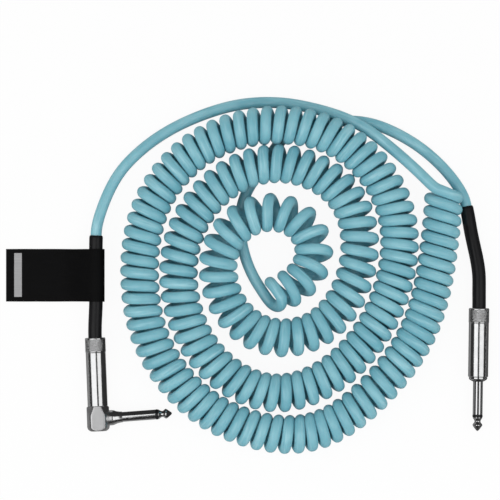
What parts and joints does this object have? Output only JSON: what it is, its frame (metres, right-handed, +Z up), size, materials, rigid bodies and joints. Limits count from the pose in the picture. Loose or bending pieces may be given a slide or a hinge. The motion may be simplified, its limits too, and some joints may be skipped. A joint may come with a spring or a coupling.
{
  "type": "instrument cable",
  "caption": "Curly instrument cable laid flat as a spiral of curls, with a right-angle jack plug at one end, a straight jack plug at the other and a folded fabric tag.",
  "frame": {"origin": "on the surface the cable lies on, at the middle of the rectangle that the two plugs, their sleeves and the tag span", "axes": "+X from the angled plug to the straight plug, +Y from the plugs' tips towards the leads, +Z up"},
  "size_m": [0.3115, 0.2297, 0.0328],
  "materials": {
    "cord_jacket": "smooth satin PVC jacket, pale turquoise",
    "heat_shrink": "black shrunk sleeve, soft gloss",
    "plated_shell": "polished nickel plate, diamond knurl on the grip ring",
    "plated_contact": "polished nickel plate",
    "satin_head": "satin plate with fine milling lines on the flats",
    "black_insulator": "moulded black plastic",
    "fibre_washer": "hard paper washer",
    "brass_lug": "stamped brass, slightly dulled",
    "clear_tube": "translucent plastic tube",
    "core_insulation": "natural polyethylene",
    "copper_wire": "bare stranded copper",
    "solder": "frozen solder",
    "tag_fabric": "tightly woven satin ribbon with a pale woven bar"
  },
  "bodies": {
    "cable": {"curly_section": "cord_jacket", "angled_lead": "cord_jacket", "straight_lead": "cord_jacket", "angled_sleeve": "heat_shrink", "angled_cable_end": "cord_jacket", "angled_ring_insulator": "black_insulator", "angled_tip": "plated_contact", "angled_rear_washer": "fibre_washer", "angled_tip_lug": "brass_lug", "angled_earth_lug": "brass_lug", "angled_core": "core_insulation", "angled_conductor": "copper_wire", "angled_screen": "copper_wire", "angled_solder": "solder", "straight_sleeve": "heat_shrink", "straight_cable_end": "cord_jacket", "straight_ring_insulator": "black_insulator", "straight_tip": "plated_contact", "straight_rear_washer": "fibre_washer", "straight_tip_lug": "brass_lug", "straight_earth_lug": "brass_lug", "straight_core": "core_insulation", "straight_conductor": "copper_wire", "straight_screen": "copper_wire", "straight_solder": "solder", "angled_head": "satin_head", "angled_head_cap": "satin_head", "angled_shaft": "plated_contact", "straight_body": "plated_contact"},
    "angled_tube_carrier": {"angled_insulating_tube": "clear_tube"},
    "angled_grip": {"angled_shell": "plated_shell"},
    "straight_tube_carrier": {"straight_insulating_tube": "clear_tube"},
    "straight_grip": {"straight_shell": "plated_shell"},
    "tag_flap": {"tag": "tag_fabric"}
  },
  "joints": [
    {"name": "angled_shell_slide", "type": "slide", "parent": "cable", "child": "angled_tube_carrier", "axis": [-0.0384, 0.9993, 0], "range_m": [0, 0.006]},
    {"name": "angled_shell_turn", "type": "hinge", "parent": "angled_tube_carrier", "child": "angled_grip", "pos_m": [-0.097, -0.057, 0.0066], "axis": [-0.0384, 0.9993, 0], "range_deg": [0, 2160]},
    {"name": "straight_shell_slide", "type": "slide", "parent": "cable", "child": "straight_tube_carrier", "axis": [0.014, 0.9999, 0], "range_m": [0, 0.006]},
    {"name": "straight_shell_turn", "type": "hinge", "parent": "straight_tube_carrier", "child": "straight_grip", "pos_m": [0.1485, -0.038, 0.0066], "axis": [0.014, 0.9999, 0], "range_deg": [0, 2160]},
    {"name": "tag_swing", "type": "hinge", "parent": "cable", "child": "tag_flap", "pos_m": [-0.09805, 0.0275, 0.0066], "axis": [0, 1, 0], "range_deg": [0, 120]}
  ],
  "couplings": [
    {"joint": "angled_shell_slide", "follows": "angled_shell_turn", "m_per_rad": 0.000159},
    {"joint": "straight_shell_slide", "follows": "straight_shell_turn", "m_per_rad": 0.000159}
  ]
}
